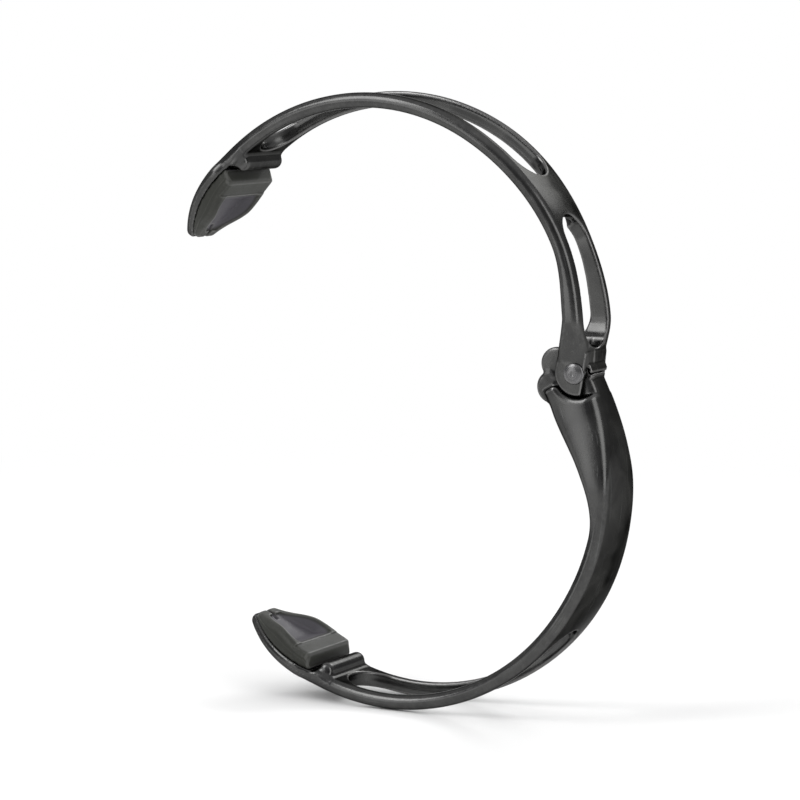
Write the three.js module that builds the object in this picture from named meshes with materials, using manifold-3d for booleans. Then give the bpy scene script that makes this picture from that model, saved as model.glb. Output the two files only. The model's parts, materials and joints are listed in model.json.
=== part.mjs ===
// Ring-type purse hook, shown open: two curved arms on one spring hinge, with a soft grip pad in each foot.
// The hinge pin lies along Y and the ring opens towards -X. Lengths are in millimetres.
import * as THREE from "three";
import { mergeVertices } from "three/addons/utils/BufferGeometryUtils.js";
import Module from "manifold-3d";

const wasm = await Module();
wasm.setup();

// Arms: arcs are lengths along the middle of the rails, measured from the hinge pin
const armOuterRadius = 36.7;
const armLength = 104;
const straightenLength = 20;
const straightenRadius = 45;
const armDepth = 2.3;
const armWidth = 13.4;
const neckWidth = 12.6;
const waistWidth = 11.2;
const railWidth = 2;
const webThickness = 1.1;
const cornerRadius = 1.05;
const crownHeight = 0.35;
const cornerShare = 0.476;
const flareStartArc = 1.5;
const flareEndArc = 8;
const waistArc = 20;
const fullWidthArc = 42;
const slotRunOut = 5;
const bridgeStartArc = 24;
const bridgeEndArc = 31;
const channelEndGap = 4.5;

// How the two arms lie when the hook is open, and how far they close
const upperTilt = -8.2;
const lowerTilt = 29.5;
const closingTurn = 50.5;
const turnMargin = 1.5;

// Feet
const footLength = 15.3;
const footWidth = 14.2;
const noseLength = 13;
const noseWidth = 3.4;
const footMetalDepth = 2;
const tipMetalDepth = 1.5;
const footHeight = 4.9;
const tipHeight = 2.6;
const rimWidth = 0.9;
const recessDepth = 0.8;
const lipTopWidth = 0.8;
const lipFootWidth = 2.2;
const padFloor = 0.9;
const padTipSetback = 0.7;
const landLength = 1.6;
const landHeight = 4.5;
const padEndSlope = 1.3;
const hollowRise = 4;
const tipNotchWidth = 0.9;
const tipNotchLength = 1.6;
const seatGap = 0.3;
const strapStopRadius = 1.4;
const strapStopRise = 0.3;
const strapStopSetback = 2;

// Hinge
const pinInset = 1.4;
const pinRadius = 0.75;
const pinHeadRadius = 1.65;
const pinHeadHeight = 0.75;
const pinHeadSkirt = 0.25;
const pinTailRadius = 1.3;
const pinTailHeight = 0.5;
const pinDimpleRadius = 0.35;
const pinDimpleDepth = 0.12;
const hingeWidth = 8;
const eyeRadius = 3.5;
const eyeThickness = 1.2;
const knuckleRadius = 1.7;
const shroudThickness = 0.45;
const washerThickness = 0.25;
const washerRadius = 1.25;
const plateThickness = 0.85;
const lobeRadius = 2.5;
const upperLobe = { x: -3.8, z: 1.2 };
const heelLobe = { x: -4.5, z: -2.4 };
const upperDepthAtHinge = 5;
const upperNeckDepth = 3;
const upperNeckArc = 9;
const taperEndArc = 20;
const lowerDepthAtHinge = 8.2;
const lowerTaperStart = 4;
const lowerTaperEnd = 26;
const crossbarHeight = 3.8;
const crossbarAngle = 94;
const lobeClearAngle = 70;
const runningFit = 0.05;
const sideClearance = 0.05;
const turningClearance = 0.2;
const stopGap = 0.1;

// Closing spring
const springTurns = 2.25;
const springWireRadius = 0.25;
const springPitch = 0.95;
const springMeanRadius = 1.35;
const springLegLength = 2.9;
const upperLegOffset = 1.15;
const legBendRadius = 0.55;
const legHoleRadius = 0.5;

// Facets
const armSteps = 54;
const armSpacing = 1.35;
const slotSteps = 26;
const footSteps = 14;
const cornerSteps = 3;
const roundSides = 36;
const smallSides = 20;
const trimSides = 144;
const domeSteps = 4;
const wireSides = 5;
const stepsPerCurl = 8;
const legSteps = 2;
const overrun = 1;

const railRadius = armOuterRadius - armDepth / 2;
const pinPathRadius = armOuterRadius - pinInset;
const straightenArc = armLength - straightenLength;
const footStartArc = armLength - footLength;
const strapStopArc = footStartArc - strapStopSetback;
const halfHinge = hingeWidth / 2;
const eyeInnerFace = halfHinge - eyeThickness;
const tongueHalfWidth = eyeInnerFace - 2 * sideClearance;
const plateOuterFace = eyeInnerFace - washerThickness - 2 * sideClearance;
const plateInnerFace = plateOuterFace - plateThickness;
const crossbarHalfWidth = plateInnerFace - 2 * sideClearance;
const shroudRadius = knuckleRadius + turningClearance;
const barrelRadius = shroudRadius + shroudThickness;
const tongueReach = Math.hypot(heelLobe.x, heelLobe.z) + lobeRadius;
const springReach = (springTurns * springPitch) / 2;
const legHoleLength = springLegLength + legHoleRadius;

const degrees = THREE.MathUtils.degToRad;

// Moves a point of the XZ plane round the hinge pin
function turned(x, z, angle) {
  const cos = Math.cos(degrees(angle));
  const sin = Math.sin(degrees(angle));
  return { x: x * cos - z * sin, z: x * sin + z * cos };
}

// A point of an arm: depth is measured inwards from the outer surface. The side is 1 above the pin and -1
// below it. The last part of an arm bends less.
function armPoint(arm, arc, depth, y) {
  const bend = Math.min(arc, straightenArc) / railRadius;
  const footBend = Math.max(0, arc - straightenArc) / straightenRadius;
  const shift = railRadius - straightenRadius;
  const radius = armOuterRadius - depth - shift;
  const x = shift * Math.cos(bend) + radius * Math.cos(bend + footBend) - pinPathRadius;
  const z = arm.side * (shift * Math.sin(bend) + radius * Math.sin(bend + footBend));
  const placed = turned(x, z, arm.tilt);
  return new THREE.Vector3(placed.x, y, placed.z);
}

// The middle of the flat land on a foot pad
const landArc = footStartArc + seatGap + padEndSlope + landLength / 2;

// The direction from an arm's outer surface towards the middle of the ring
function inwardDirection(arm, arc) {
  return armPoint(arm, arc, 1, 0).sub(armPoint(arm, arc, 0, 0));
}

// Smooth steps between [place, value] pairs
function follow(pairs, place) {
  if (place <= pairs[0][0]) return pairs[0][1];
  for (let i = 1; i < pairs.length; i++) {
    const [from, before] = pairs[i - 1];
    const [to, after] = pairs[i];
    if (place <= to) {
      const t = THREE.MathUtils.smoothstep(place, from, to);
      return before + (after - before) * t;
    }
  }
  return pairs[pairs.length - 1][1];
}

const upper = {
  side: 1,
  tilt: upperTilt,
  widths: [
    [flareStartArc, hingeWidth],
    [flareEndArc, neckWidth],
    [waistArc, waistWidth],
    [fullWidthArc, armWidth],
  ],
  depths: [[flareStartArc, upperDepthAtHinge], [upperNeckArc, upperNeckDepth], [taperEndArc, armDepth]],
};
const lower = {
  side: -1,
  tilt: lowerTilt,
  widths: [[flareStartArc, hingeWidth], [waistArc, waistWidth], [fullWidthArc, armWidth]],
  depths: [[lowerTaperStart, lowerDepthAtHinge], [lowerTaperEnd, armDepth]],
};

// Half the width of an arm: it flares from the hinge, swells a little at the foot and ends in a round nose
function halfWidth(arm, arc) {
  if (arc <= footStartArc) return follow(arm.widths, arc) / 2;
  const noseStart = armLength - noseLength;
  if (arc <= noseStart) return follow([[footStartArc, armWidth], [noseStart, footWidth]], arc) / 2;
  const share = (arc - noseStart) / noseLength;
  return noseWidth / 2 + (footWidth / 2 - noseWidth / 2) * (1 - share * share);
}

// How far the metal reaches inwards from the outer surface
function metalDepth(arm, arc) {
  if (arc <= footStartArc - overrun) return follow(arm.depths, arc);
  return follow([
    [footStartArc - overrun, armDepth],
    [footStartArc, footMetalDepth],
    [armLength, tipMetalDepth],
  ], arc);
}

// How far the lips of a foot pad reach inwards from the outer surface
function lipHeight(arc) {
  const middle = armLength - footLength / 2;
  const start = footStartArc + seatGap;
  return follow([
    [start, footMetalDepth + recessDepth],
    [start + padEndSlope, landHeight],
    [middle, footHeight],
    [armLength, tipHeight],
  ], arc);
}

// One ring of a bar that follows an arm: a rectangle with round corners between two depths
function barRing(arm, arc, half, outerDepth, innerDepth, crown = 0) {
  const thinner = Math.min(Math.abs(innerDepth - outerDepth), 2 * half);
  const corner = Math.min(cornerRadius, cornerShare * thinner);
  const ring = [];
  const quarter = Math.PI / 2;
  const corners = [
    { y: half - corner, depth: outerDepth + corner, from: -quarter },
    { y: half - corner, depth: innerDepth - corner, from: 0 },
    { y: corner - half, depth: innerDepth - corner, from: quarter },
    { y: corner - half, depth: outerDepth + corner, from: 2 * quarter },
  ];
  ring.push(armPoint(arm, arc, outerDepth - crown, 0));
  for (const c of corners) {
    for (let i = 0; i <= cornerSteps; i++) {
      const angle = c.from + (quarter * i) / cornerSteps;
      const y = c.y + corner * Math.cos(angle);
      const depth = c.depth + corner * Math.sin(angle);
      ring.push(armPoint(arm, arc, depth, y));
    }
  }
  return ring;
}

// Joins rings of equal length into one closed skin with flat ends
function loft(rings) {
  const count = rings[0].length;
  const points = rings.flat();
  const faces = [];
  for (let r = 0; r + 1 < rings.length; r++) {
    for (let i = 0; i < count; i++) {
      const a = r * count + i;
      const b = r * count + ((i + 1) % count);
      faces.push(a, b, b + count, a, b + count, a + count);
    }
  }
  for (const [ring, first] of [[rings[0], true], [rings[rings.length - 1], false]]) {
    const start = first ? 0 : (rings.length - 1) * count;
    const middle = points.length;
    points.push(ring.reduce((sum, p) => sum.add(p), new THREE.Vector3()).divideScalar(count));
    for (let i = 0; i < count; i++) {
      const a = start + i;
      const b = start + ((i + 1) % count);
      if (first) faces.push(middle, b, a);
      else faces.push(middle, a, b);
    }
  }
  const geometry = new THREE.BufferGeometry().setFromPoints(points);
  geometry.setIndex(faces);
  return geometry;
}

// A closed geometry as a solid with its faces turned outwards
function solid(geometry) {
  const bare = geometry.clone();
  bare.deleteAttribute("normal");
  bare.deleteAttribute("uv");
  const merged = mergeVertices(bare);
  const triVerts = new Uint32Array(merged.index.array);
  const vertProperties = new Float32Array(merged.attributes.position.array);
  const made = new wasm.Manifold(new wasm.Mesh({ numProp: 3, vertProperties, triVerts }));
  if (made.volume() > 0) return made;
  for (let i = 0; i < triVerts.length; i += 3) {
    [triVerts[i + 1], triVerts[i + 2]] = [triVerts[i + 2], triVerts[i + 1]];
  }
  return new wasm.Manifold(new wasm.Mesh({ numProp: 3, vertProperties, triVerts }));
}

function geometryOf(made) {
  const mesh = made.getMesh();
  const geometry = new THREE.BufferGeometry();
  geometry.setAttribute("position", new THREE.BufferAttribute(mesh.vertProperties, mesh.numProp));
  geometry.setIndex(new THREE.BufferAttribute(mesh.triVerts, 1));
  geometry.computeVertexNormals();
  return geometry;
}

// Rings set closer together at both ends, and closer together at the hinge
const denseEnds = (t) => (1 - Math.cos(Math.PI * t)) / 2;
const denseHinge = (t) => t ** armSpacing;

// A bar along part of an arm, whose width and depths are functions of the arc
function bar(arm, fromArc, toArc, steps, half, outerDepth, innerDepth, crown = () => 0, place = (t) => t) {
  const rings = [];
  for (let i = 0; i <= steps; i++) {
    const arc = fromArc + (toArc - fromArc) * place(i / steps);
    rings.push(barRing(arm, arc, half(arc), outerDepth(arc), innerDepth(arc), crown(arc)));
  }
  return solid(loft(rings));
}

function cylinder(radius, fromY, toY, x = 0, z = 0, sides = roundSides) {
  const geometry = new THREE.CylinderGeometry(radius, radius, toY - fromY, sides);
  geometry.translate(x, (fromY + toY) / 2, z);
  return solid(geometry);
}

// A slice of a disc round the hinge pin, between two angles that grow from +X towards +Z
function slice(radius, fromAngle, toAngle, fromY, toY) {
  const points = [new THREE.Vector2(0, 0)];
  for (let i = 0; i <= roundSides; i++) {
    const angle = degrees(fromAngle + ((toAngle - fromAngle) * i) / roundSides);
    points.push(new THREE.Vector2(radius * Math.cos(angle), radius * Math.sin(angle)));
  }
  const shape = new THREE.Shape(points);
  const geometry = new THREE.ExtrudeGeometry(shape, { depth: toY - fromY, bevelEnabled: false });
  geometry.rotateX(Math.PI / 2);
  geometry.translate(0, toY, 0);
  return solid(geometry);
}

// A round hole along Z for a leg of the spring
function legHole(x, y, fromZ, toZ) {
  const geometry = new THREE.CylinderGeometry(legHoleRadius, legHoleRadius, toZ - fromZ, smallSides);
  geometry.rotateX(Math.PI / 2);
  geometry.translate(x, y, (fromZ + toZ) / 2);
  return solid(geometry);
}

function pinBore() {
  return cylinder(pinRadius + runningFit, -hingeWidth, hingeWidth, 0, 0, smallSides);
}

// The end of a slot or channel is round: its half width grows from nothing over its own half width
function roundEnded(arm, fromArc, toArc) {
  return (arc) => {
    const full = betweenRails(arm, arc);
    const toEnd = Math.min(arc - fromArc, toArc - arc);
    const share = Math.min(1, Math.max(0, toEnd) / full);
    return Math.max(cornerRadius / 2, full * Math.sqrt(1 - (1 - share) * (1 - share)));
  };
}

// The space between the rails
function betweenRails(arm, arc) {
  return halfWidth(arm, arc) - railWidth;
}

// Cuts the shallow channel between the rails on the inner side of an arm
function channel(arm, fromArc) {
  const toArc = footStartArc - channelEndGap;
  const half = roundEnded(arm, fromArc, toArc);
  const floor = () => webThickness;
  const top = (arc) => metalDepth(arm, arc) + overrun;
  return bar(arm, fromArc, toArc, armSteps, half, floor, top, () => 0, denseEnds);
}

// Cuts a slot through the web between the rails; with a run-out its near end is a slope
function slot(arm, fromArc, toArc, runOut = 0) {
  const half = roundEnded(arm, fromArc, toArc);
  const innerDepth = (arc) => {
    const whole = metalDepth(arm, arc) + overrun;
    return runOut > 0 ? Math.min(whole, overrun / 2 + ((arc - fromArc) / runOut) * whole) : whole;
  };
  const outside = () => -overrun - crownHeight;
  return bar(arm, fromArc, toArc, slotSteps, half, outside, innerDepth, () => 0, denseEnds);
}

// The rounded stop that keeps a strap off the foot pad
function strapStop(arm) {
  const centre = armPoint(arm, strapStopArc, armDepth + strapStopRise, 0);
  const half = halfWidth(arm, strapStopArc) - rimWidth;
  return cylinder(strapStopRadius, -half, half, centre.x, centre.z, smallSides);
}

// The recess in a foot that the plug of the pad sits in
function padRecess(arm) {
  const from = footStartArc + rimWidth;
  const to = armLength - padTipSetback - rimWidth;
  return bar(arm, from, to, footSteps, (arc) => halfWidth(arm, arc) - rimWidth,
    (arc) => metalDepth(arm, arc) - recessDepth, (arc) => metalDepth(arm, arc) + overrun);
}

// The bar that an arm is cut from, with its strap stop and the recess for its pad
function armBlank(arm) {
  const half = (arc) => halfWidth(arm, arc);
  const depth = (arc) => metalDepth(arm, arc);
  return bar(arm, 0, armLength, armSteps, half, () => 0, depth, () => crownHeight, denseHinge)
    .add(strapStop(arm))
    .subtract(padRecess(arm));
}

// The full round of the outer surface, which trims the eyes of the upper arm
function outerRound(arm) {
  const centre = turned(-pinPathRadius, 0, arm.tilt);
  return cylinder(armOuterRadius, -halfHinge, halfHinge, centre.x, centre.z, trimSides);
}

// Everything in front of the hinge pin and below the plane where the two outer webs meet
function belowStop(halfWide) {
  const size = armOuterRadius;
  const block = new THREE.BoxGeometry(size, 2 * halfWide, size);
  block.translate(size / 2, 0, stopGap / 2 - size / 2);
  return solid(block);
}

// Everything in front of the hinge pin and above that plane
function aboveStop(halfWide) {
  const size = armOuterRadius;
  const block = new THREE.BoxGeometry(size, 2 * halfWide, size);
  block.translate(size / 2, 0, size / 2 - stopGap / 2);
  return solid(block);
}

// Where the lower arm's inner side ends, as an angle round the pin when the hook is open
const lowerInnerAngle = 180 + lowerTilt;

// The upper arm ends in two eyes round the pin. Between them a thin shroud covers the outer side of the
// hinge. A crossbar above the shroud holds a leg of the spring.
function upperArm() {
  const upperInnerAngle = lowerInnerAngle - closingTurn - 2 * turnMargin;
  const reach = tongueReach + turningClearance;
  const eyes = cylinder(eyeRadius, -halfHinge, halfHinge).intersect(outerRound(upper));
  return armBlank(upper)
    .subtract(slice(armOuterRadius, upperInnerAngle, 360, -armWidth, armWidth))
    .add(eyes)
    .add(cylinder(barrelRadius, -eyeInnerFace, eyeInnerFace))
    .subtract(cylinder(shroudRadius, -eyeInnerFace, eyeInnerFace))
    .subtract(slice(reach, crossbarAngle, 360, -eyeInnerFace, eyeInnerFace))
    .subtract(slice(reach, lobeClearAngle, crossbarAngle + overrun, crossbarHalfWidth, eyeInnerFace))
    .subtract(slice(reach, lobeClearAngle, crossbarAngle + overrun, -eyeInnerFace, -crossbarHalfWidth))
    .subtract(belowStop(eyeInnerFace))
    .subtract(slot(upper, crossbarHeight, bridgeStartArc))
    .subtract(slot(upper, bridgeEndArc, footStartArc - channelEndGap))
    .subtract(channel(upper, bridgeStartArc - armDepth))
    .subtract(legHole(upperLegOffset, -springReach, springMeanRadius - legHoleRadius, legHoleLength))
    .subtract(pinBore());
}

// The lower arm ends in a forked tongue with a rounded heel, which turns between the eyes
function lowerArm() {
  const clearAngle = crossbarAngle + closingTurn + turnMargin;
  const pocketFace = eyeInnerFace - sideClearance;
  let tongue = cylinder(knuckleRadius, -tongueHalfWidth, tongueHalfWidth);
  for (const lobe of [upperLobe, heelLobe]) {
    tongue = tongue.add(cylinder(lobeRadius, -tongueHalfWidth, tongueHalfWidth, lobe.x, lobe.z));
  }
  let arm = armBlank(lower)
    .add(cylinder(barrelRadius, -tongueHalfWidth, tongueHalfWidth))
    .subtract(slice(armOuterRadius, 0, lowerInnerAngle, -armWidth, armWidth))
    .subtract(aboveStop(armWidth));
  const crossbarPath = slice(tongueReach + overrun, 0, clearAngle, -plateInnerFace, plateInnerFace);
  arm = arm.add(tongue.subtract(crossbarPath));
  for (const side of [1, -1]) {
    const pocket = [side * pocketFace, side * armWidth].sort((a, b) => a - b);
    const washerSeat = [side * plateOuterFace, side * eyeInnerFace].sort((a, b) => a - b);
    arm = arm
      .subtract(cylinder(eyeRadius + turningClearance, ...pocket))
      .subtract(cylinder(washerRadius + turningClearance, ...washerSeat));
  }
  const springRoom = springMeanRadius + springWireRadius + turningClearance;
  return arm
    .subtract(cylinder(springRoom, -plateInnerFace, plateInnerFace))
    .subtract(slot(lower, fullWidthArc, footStartArc - channelEndGap, slotRunOut))
    .subtract(channel(lower, lowerTaperEnd))
    .subtract(legHole(-springMeanRadius, springReach, -legHoleLength, 0))
    .subtract(pinBore());
}

// The hollow of a pad: its walls slope, and at the root its floor rises to the flat land
function padHollow(arm, from, to) {
  const rings = [];
  for (let i = 0; i <= footSteps; i++) {
    const arc = from + ((to - from) * i) / footSteps;
    const deep = metalDepth(arm, arc) + seatGap + padFloor;
    const shallow = lipHeight(arc) + seatGap / 2;
    const floor = follow([[from, shallow], [from + hollowRise, deep]], arc);
    const top = lipHeight(arc) + overrun;
    const topHalf = Math.max(tipNotchWidth / 2, halfWidth(arm, arc) - lipTopWidth);
    const floorHalf = Math.max(tipNotchWidth / 4, halfWidth(arm, arc) - lipFootWidth);
    rings.push([
      armPoint(arm, arc, floor, -floorHalf),
      armPoint(arm, arc, floor, floorHalf),
      armPoint(arm, arc, top, topHalf),
      armPoint(arm, arc, top, -topHalf),
    ]);
  }
  return solid(loft(rings));
}

// A boat-shaped soft pad: a plug in the recess, lips that meet at the nose, and a flat land at the root
function footPad(arm) {
  const from = footStartArc + seatGap;
  const to = armLength - padTipSetback;
  const seat = (arc) => metalDepth(arm, arc) + seatGap;
  const body = bar(arm, from, to, footSteps, (arc) => halfWidth(arm, arc), seat, lipHeight);
  const plug = bar(arm, from + rimWidth, to - rimWidth - seatGap, footSteps,
    (arc) => halfWidth(arm, arc) - rimWidth - seatGap,
    (arc) => metalDepth(arm, arc) - recessDepth + seatGap, (arc) => seat(arc) + padFloor / 2);
  const hollowTo = to - tipNotchLength;
  const notch = bar(arm, hollowTo - overrun, to + overrun, footSteps, () => tipNotchWidth / 2,
    (arc) => seat(arc) + padFloor / 2, (arc) => lipHeight(arc) + overrun);
  return body
    .add(plug)
    .subtract(padHollow(arm, from + padEndSlope + landLength, hollowTo))
    .subtract(notch)
    .subtract(aboveLand(arm));
}

// Everything above the flat land at the root of a pad, so that the land is one true plane
function aboveLand(arm) {
  const inward = inwardDirection(arm, landArc);
  const block = new THREE.BoxGeometry(landLength + padEndSlope, 2 * armWidth, footHeight);
  const middle = armPoint(arm, landArc, landHeight + footHeight / 2, 0);
  block.rotateY(Math.PI / 2 - Math.atan2(inward.z, inward.x));
  block.translate(middle.x, middle.y, middle.z);
  return solid(block);
}

// The pin is riveted: a low domed head with a centre dimple in front, and a flat upset tail behind
function hingePin() {
  const face = halfHinge + sideClearance;
  const profile = [new THREE.Vector2(0, -face - pinHeadHeight + pinDimpleDepth)];
  profile.push(new THREE.Vector2(pinDimpleRadius, -face - pinHeadHeight));
  for (let i = 1; i <= domeSteps; i++) {
    const angle = (Math.PI / 2) * (i / domeSteps);
    const radius = pinDimpleRadius + (pinHeadRadius - pinDimpleRadius) * Math.sin(angle);
    const height = pinHeadSkirt + (pinHeadHeight - pinHeadSkirt) * Math.cos(angle);
    profile.push(new THREE.Vector2(radius, -face - height));
  }
  profile.push(new THREE.Vector2(pinHeadRadius, -face));
  profile.push(new THREE.Vector2(pinRadius, -face));
  profile.push(new THREE.Vector2(pinRadius, face));
  profile.push(new THREE.Vector2(pinTailRadius, face));
  profile.push(new THREE.Vector2(pinTailRadius, face + pinTailHeight / 2));
  profile.push(new THREE.Vector2(pinTailRadius - pinTailHeight, face + pinTailHeight));
  profile.push(new THREE.Vector2(0, face + pinTailHeight));
  return geometryOf(solid(new THREE.LatheGeometry(profile, smallSides)));
}

function tube(innerRadius, outerRadius, fromY, toY) {
  const profile = [
    new THREE.Vector2(innerRadius, fromY),
    new THREE.Vector2(outerRadius, fromY),
    new THREE.Vector2(outerRadius, toY),
    new THREE.Vector2(innerRadius, toY),
    new THREE.Vector2(innerRadius, fromY),
  ];
  return geometryOf(solid(new THREE.LatheGeometry(profile, smallSides)));
}

// The middle line of the spring: a leg from the upper arm, the curls, and a leg down into the lower arm.
// Opening the hook winds the curls up, so the spring closes the hook.
function springPath() {
  const points = [];
  const bendTop = springMeanRadius + legBendRadius;
  for (let i = 0; i <= legSteps; i++) {
    const z = springLegLength + ((bendTop - springLegLength) * i) / legSteps;
    points.push(new THREE.Vector3(upperLegOffset, -springReach, z));
  }
  const bendMiddle = legBendRadius * Math.SQRT1_2;
  const curlStart = upperLegOffset - legBendRadius;
  points.push(new THREE.Vector3(curlStart + bendMiddle, -springReach, bendTop - bendMiddle));
  points.push(new THREE.Vector3(curlStart, -springReach, springMeanRadius));
  const steps = springTurns * stepsPerCurl;
  for (let i = 0; i <= steps; i++) {
    const share = i / steps;
    const angle = Math.PI / 2 + share * springTurns * 2 * Math.PI;
    const x = springMeanRadius * Math.cos(angle);
    const z = springMeanRadius * Math.sin(angle);
    points.push(new THREE.Vector3(x, springReach * (2 * share - 1), z));
  }
  for (let i = 1; i <= legSteps; i++) {
    points.push(new THREE.Vector3(-springMeanRadius, springReach, (-springLegLength * i) / legSteps));
  }
  return points;
}

// The wire is one unbroken tube whose rings stand square to the path
function hingeSpring() {
  const points = springPath();
  const rings = points.map((point, i) => {
    const before = points[Math.max(0, i - 1)];
    const after = points[Math.min(points.length - 1, i + 1)];
    const along = after.clone().sub(before).normalize();
    const across = new THREE.Vector3(0, 1, 0).cross(along).normalize();
    const up = along.clone().cross(across);
    const ring = [];
    for (let s = 0; s < wireSides; s++) {
      const angle = (2 * Math.PI * s) / wireSides;
      ring.push(point.clone()
        .addScaledVector(across, springWireRadius * Math.cos(angle))
        .addScaledVector(up, springWireRadius * Math.sin(angle)));
    }
    return ring;
  });
  return geometryOf(solid(loft(rings)));
}

// The least gap between curls, measured between points that are at least half a curl apart along the wire
function leastSpringGap() {
  const points = springPath();
  let least = Infinity;
  for (let i = 0; i < points.length; i++) {
    for (let j = i + stepsPerCurl / 2; j < points.length; j++) {
      least = Math.min(least, points[i].distanceTo(points[j]) - 2 * springWireRadius);
    }
  }
  return least;
}
console.log(`least gap between spring curls: ${leastSpringGap().toFixed(2)} mm`);

// Finishes
function polishedMetal() {
  return new THREE.MeshStandardMaterial({ color: 0x55565a, metalness: 1, roughness: 0.18 });
}

function steel() {
  return new THREE.MeshStandardMaterial({ color: 0x9b9c9e, metalness: 1, roughness: 0.28 });
}

function springSteel() {
  return new THREE.MeshStandardMaterial({ color: 0x7d7f82, metalness: 1, roughness: 0.35 });
}

function bearingPlastic() {
  return new THREE.MeshStandardMaterial({ color: 0x2b2b2d, metalness: 0, roughness: 0.5 });
}

function gripRubber() {
  return new THREE.MeshStandardMaterial({ color: 0x4d4e4a, metalness: 0, roughness: 0.65 });
}

const hook = new THREE.Group();

function addPiece(name, geometry, material) {
  const mesh = new THREE.Mesh(geometry, material);
  mesh.name = name;
  hook.add(mesh);
}

addPiece("upper_arm", geometryOf(upperArm()), polishedMetal());
addPiece("lower_arm", geometryOf(lowerArm()), polishedMetal());
addPiece("upper_foot_pad", geometryOf(footPad(upper)), gripRubber());
addPiece("lower_foot_pad", geometryOf(footPad(lower)), gripRubber());
addPiece("hinge_pin", hingePin(), steel());
addPiece("hinge_spring", hingeSpring(), springSteel());
addPiece("front_thrust_washer",
  tube(pinRadius + runningFit, washerRadius, sideClearance - eyeInnerFace, -plateOuterFace - sideClearance),
  bearingPlastic());
addPiece("back_thrust_washer",
  tube(pinRadius + runningFit, washerRadius, plateOuterFace + sideClearance, eyeInnerFace - sideClearance),
  bearingPlastic());

// The origin is the middle of the upper pad's flat land, which rests on the table top
const land = armPoint(upper, landArc, landHeight, 0);
hook.position.set(-land.x, -land.y, -land.z);

export default hook;
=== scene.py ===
# %% [markdown]
# # A ring-type purse hook, shown open
# Two curved arms of dark polished metal turn on one riveted pin. Each arm ends in a boat-shaped foot with a
# soft grip pad. In use the upper foot rests on a flat edge, and the load lies in the lower arm.
# The hook was built as solids first. Here those solids are the fixed frame, and each piece gets a smooth,
# finely cut version of itself, with its material, before the scene is lit and framed.

# %% Load the fixed frame
import json
import math

import bmesh
import bpy
import numpy as np
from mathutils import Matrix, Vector


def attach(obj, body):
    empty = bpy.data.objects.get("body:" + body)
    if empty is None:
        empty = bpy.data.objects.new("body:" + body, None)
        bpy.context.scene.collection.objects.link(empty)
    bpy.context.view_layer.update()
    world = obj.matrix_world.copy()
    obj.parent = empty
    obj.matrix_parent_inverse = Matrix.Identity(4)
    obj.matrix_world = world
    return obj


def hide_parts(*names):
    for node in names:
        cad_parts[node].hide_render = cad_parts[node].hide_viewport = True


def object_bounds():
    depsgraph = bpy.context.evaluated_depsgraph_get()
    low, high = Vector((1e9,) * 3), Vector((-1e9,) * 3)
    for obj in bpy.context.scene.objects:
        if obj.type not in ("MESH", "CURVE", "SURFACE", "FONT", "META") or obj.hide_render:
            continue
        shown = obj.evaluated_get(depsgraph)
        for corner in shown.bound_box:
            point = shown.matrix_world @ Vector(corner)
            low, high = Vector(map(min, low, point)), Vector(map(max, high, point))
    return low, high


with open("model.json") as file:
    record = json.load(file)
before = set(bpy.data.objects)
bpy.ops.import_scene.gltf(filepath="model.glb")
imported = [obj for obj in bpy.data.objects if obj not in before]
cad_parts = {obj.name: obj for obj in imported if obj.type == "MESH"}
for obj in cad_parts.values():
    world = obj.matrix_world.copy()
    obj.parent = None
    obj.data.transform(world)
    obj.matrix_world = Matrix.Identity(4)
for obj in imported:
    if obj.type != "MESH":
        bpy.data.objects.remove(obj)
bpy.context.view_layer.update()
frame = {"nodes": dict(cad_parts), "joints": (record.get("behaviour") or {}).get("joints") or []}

print("pieces in the frame:", ", ".join(sorted(frame["nodes"])))

# %% [markdown]
# ## Sizes
# All lengths are in millimetres and are measured from the hinge pin, because both arms are arcs that start
# there. They repeat the sizes of the solids, so that each smooth piece lies where its solid lies. The arc of
# a point is its distance from the pin along the middle of an arm, and its depth is how far it lies under the
# arm's outer surface. A name that ends in round says how large the small round is where two surfaces meet.

# %% The ring and the strip that follows it
MM = 0.001
PIN = np.array(frame["joints"][0]["pos_m"]) / MM

outer_radius = 36.7
arm_length = 104
straighten_length = 20
straighten_radius = 45
pin_depth = 1.4
arm_depth = 2.3
arm_width = 13.4
neck_width = 12.6
waist_width = 11.2
rail_width = 2
web_thickness = 1.1
flare_start, flare_end, waist_arc, full_width_arc = 1.5, 8, 20, 42

rail_radius = outer_radius - arm_depth / 2
pin_path_radius = outer_radius - pin_depth
straighten_arc = arm_length - straighten_length
straighten_angle = straighten_arc / rail_radius
centre_shift = rail_radius - straighten_radius
print("hinge pin at", PIN.round(2), "mm, closed ring", 2 * outer_radius, "mm across")

# %% The foot at the end of each arm
foot_length = 15.3
foot_width = 14.2
foot_metal_depth = 2
foot_step_length = 1
nose_length = 13
nose_width = 3.4
tip_metal_depth = 1.5
rim_width = 0.9
recess_depth = 0.8
pad_tip_setback = 0.7
foot_stop_radius = 1.4
foot_stop_rise = 0.3
foot_stop_setback = 2

foot_start = arm_length - foot_length
nose_start = arm_length - nose_length
pad_end = arm_length - pad_tip_setback
foot_stop_arc = foot_start - foot_stop_setback
print("the foot starts", foot_start, "mm from the pin and its nose", nose_start, "mm")

# %% What differs between the two arms
hinge_half = 4
upper_root_depth, upper_neck_depth = 5, 3
upper_neck_arc, upper_taper_end = 9, 20
lower_root_depth = 8.2
lower_taper_start, lower_taper_end = 4, 26

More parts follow.
